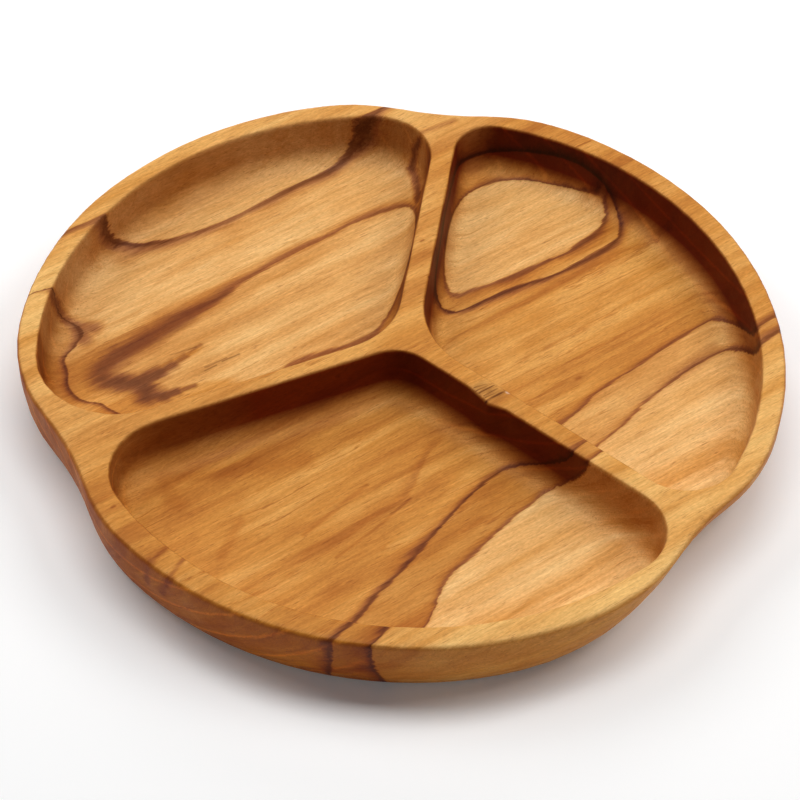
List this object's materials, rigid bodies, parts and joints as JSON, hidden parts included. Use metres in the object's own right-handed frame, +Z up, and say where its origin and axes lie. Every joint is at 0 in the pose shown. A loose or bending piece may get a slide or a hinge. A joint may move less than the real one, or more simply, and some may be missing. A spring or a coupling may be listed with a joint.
{
  "type": "divided plate",
  "caption": "Shallow round plate with a gently lobed rim and raised dividers that part it into rounded compartments for serving different foods.",
  "frame": {"origin": "on the flat base, where the plate rests on the table, under the middle of the plate", "axes": "+Z up out of the compartments, -Y towards the front compartment, +X to the right when seen from the front"},
  "size_m": [0.2789, 0.2691, 0.03],
  "materials": {
    "teak": "satin oiled"
  },
  "bodies": {
    "root": {"plate": "teak"}
  },
  "joints": []
}
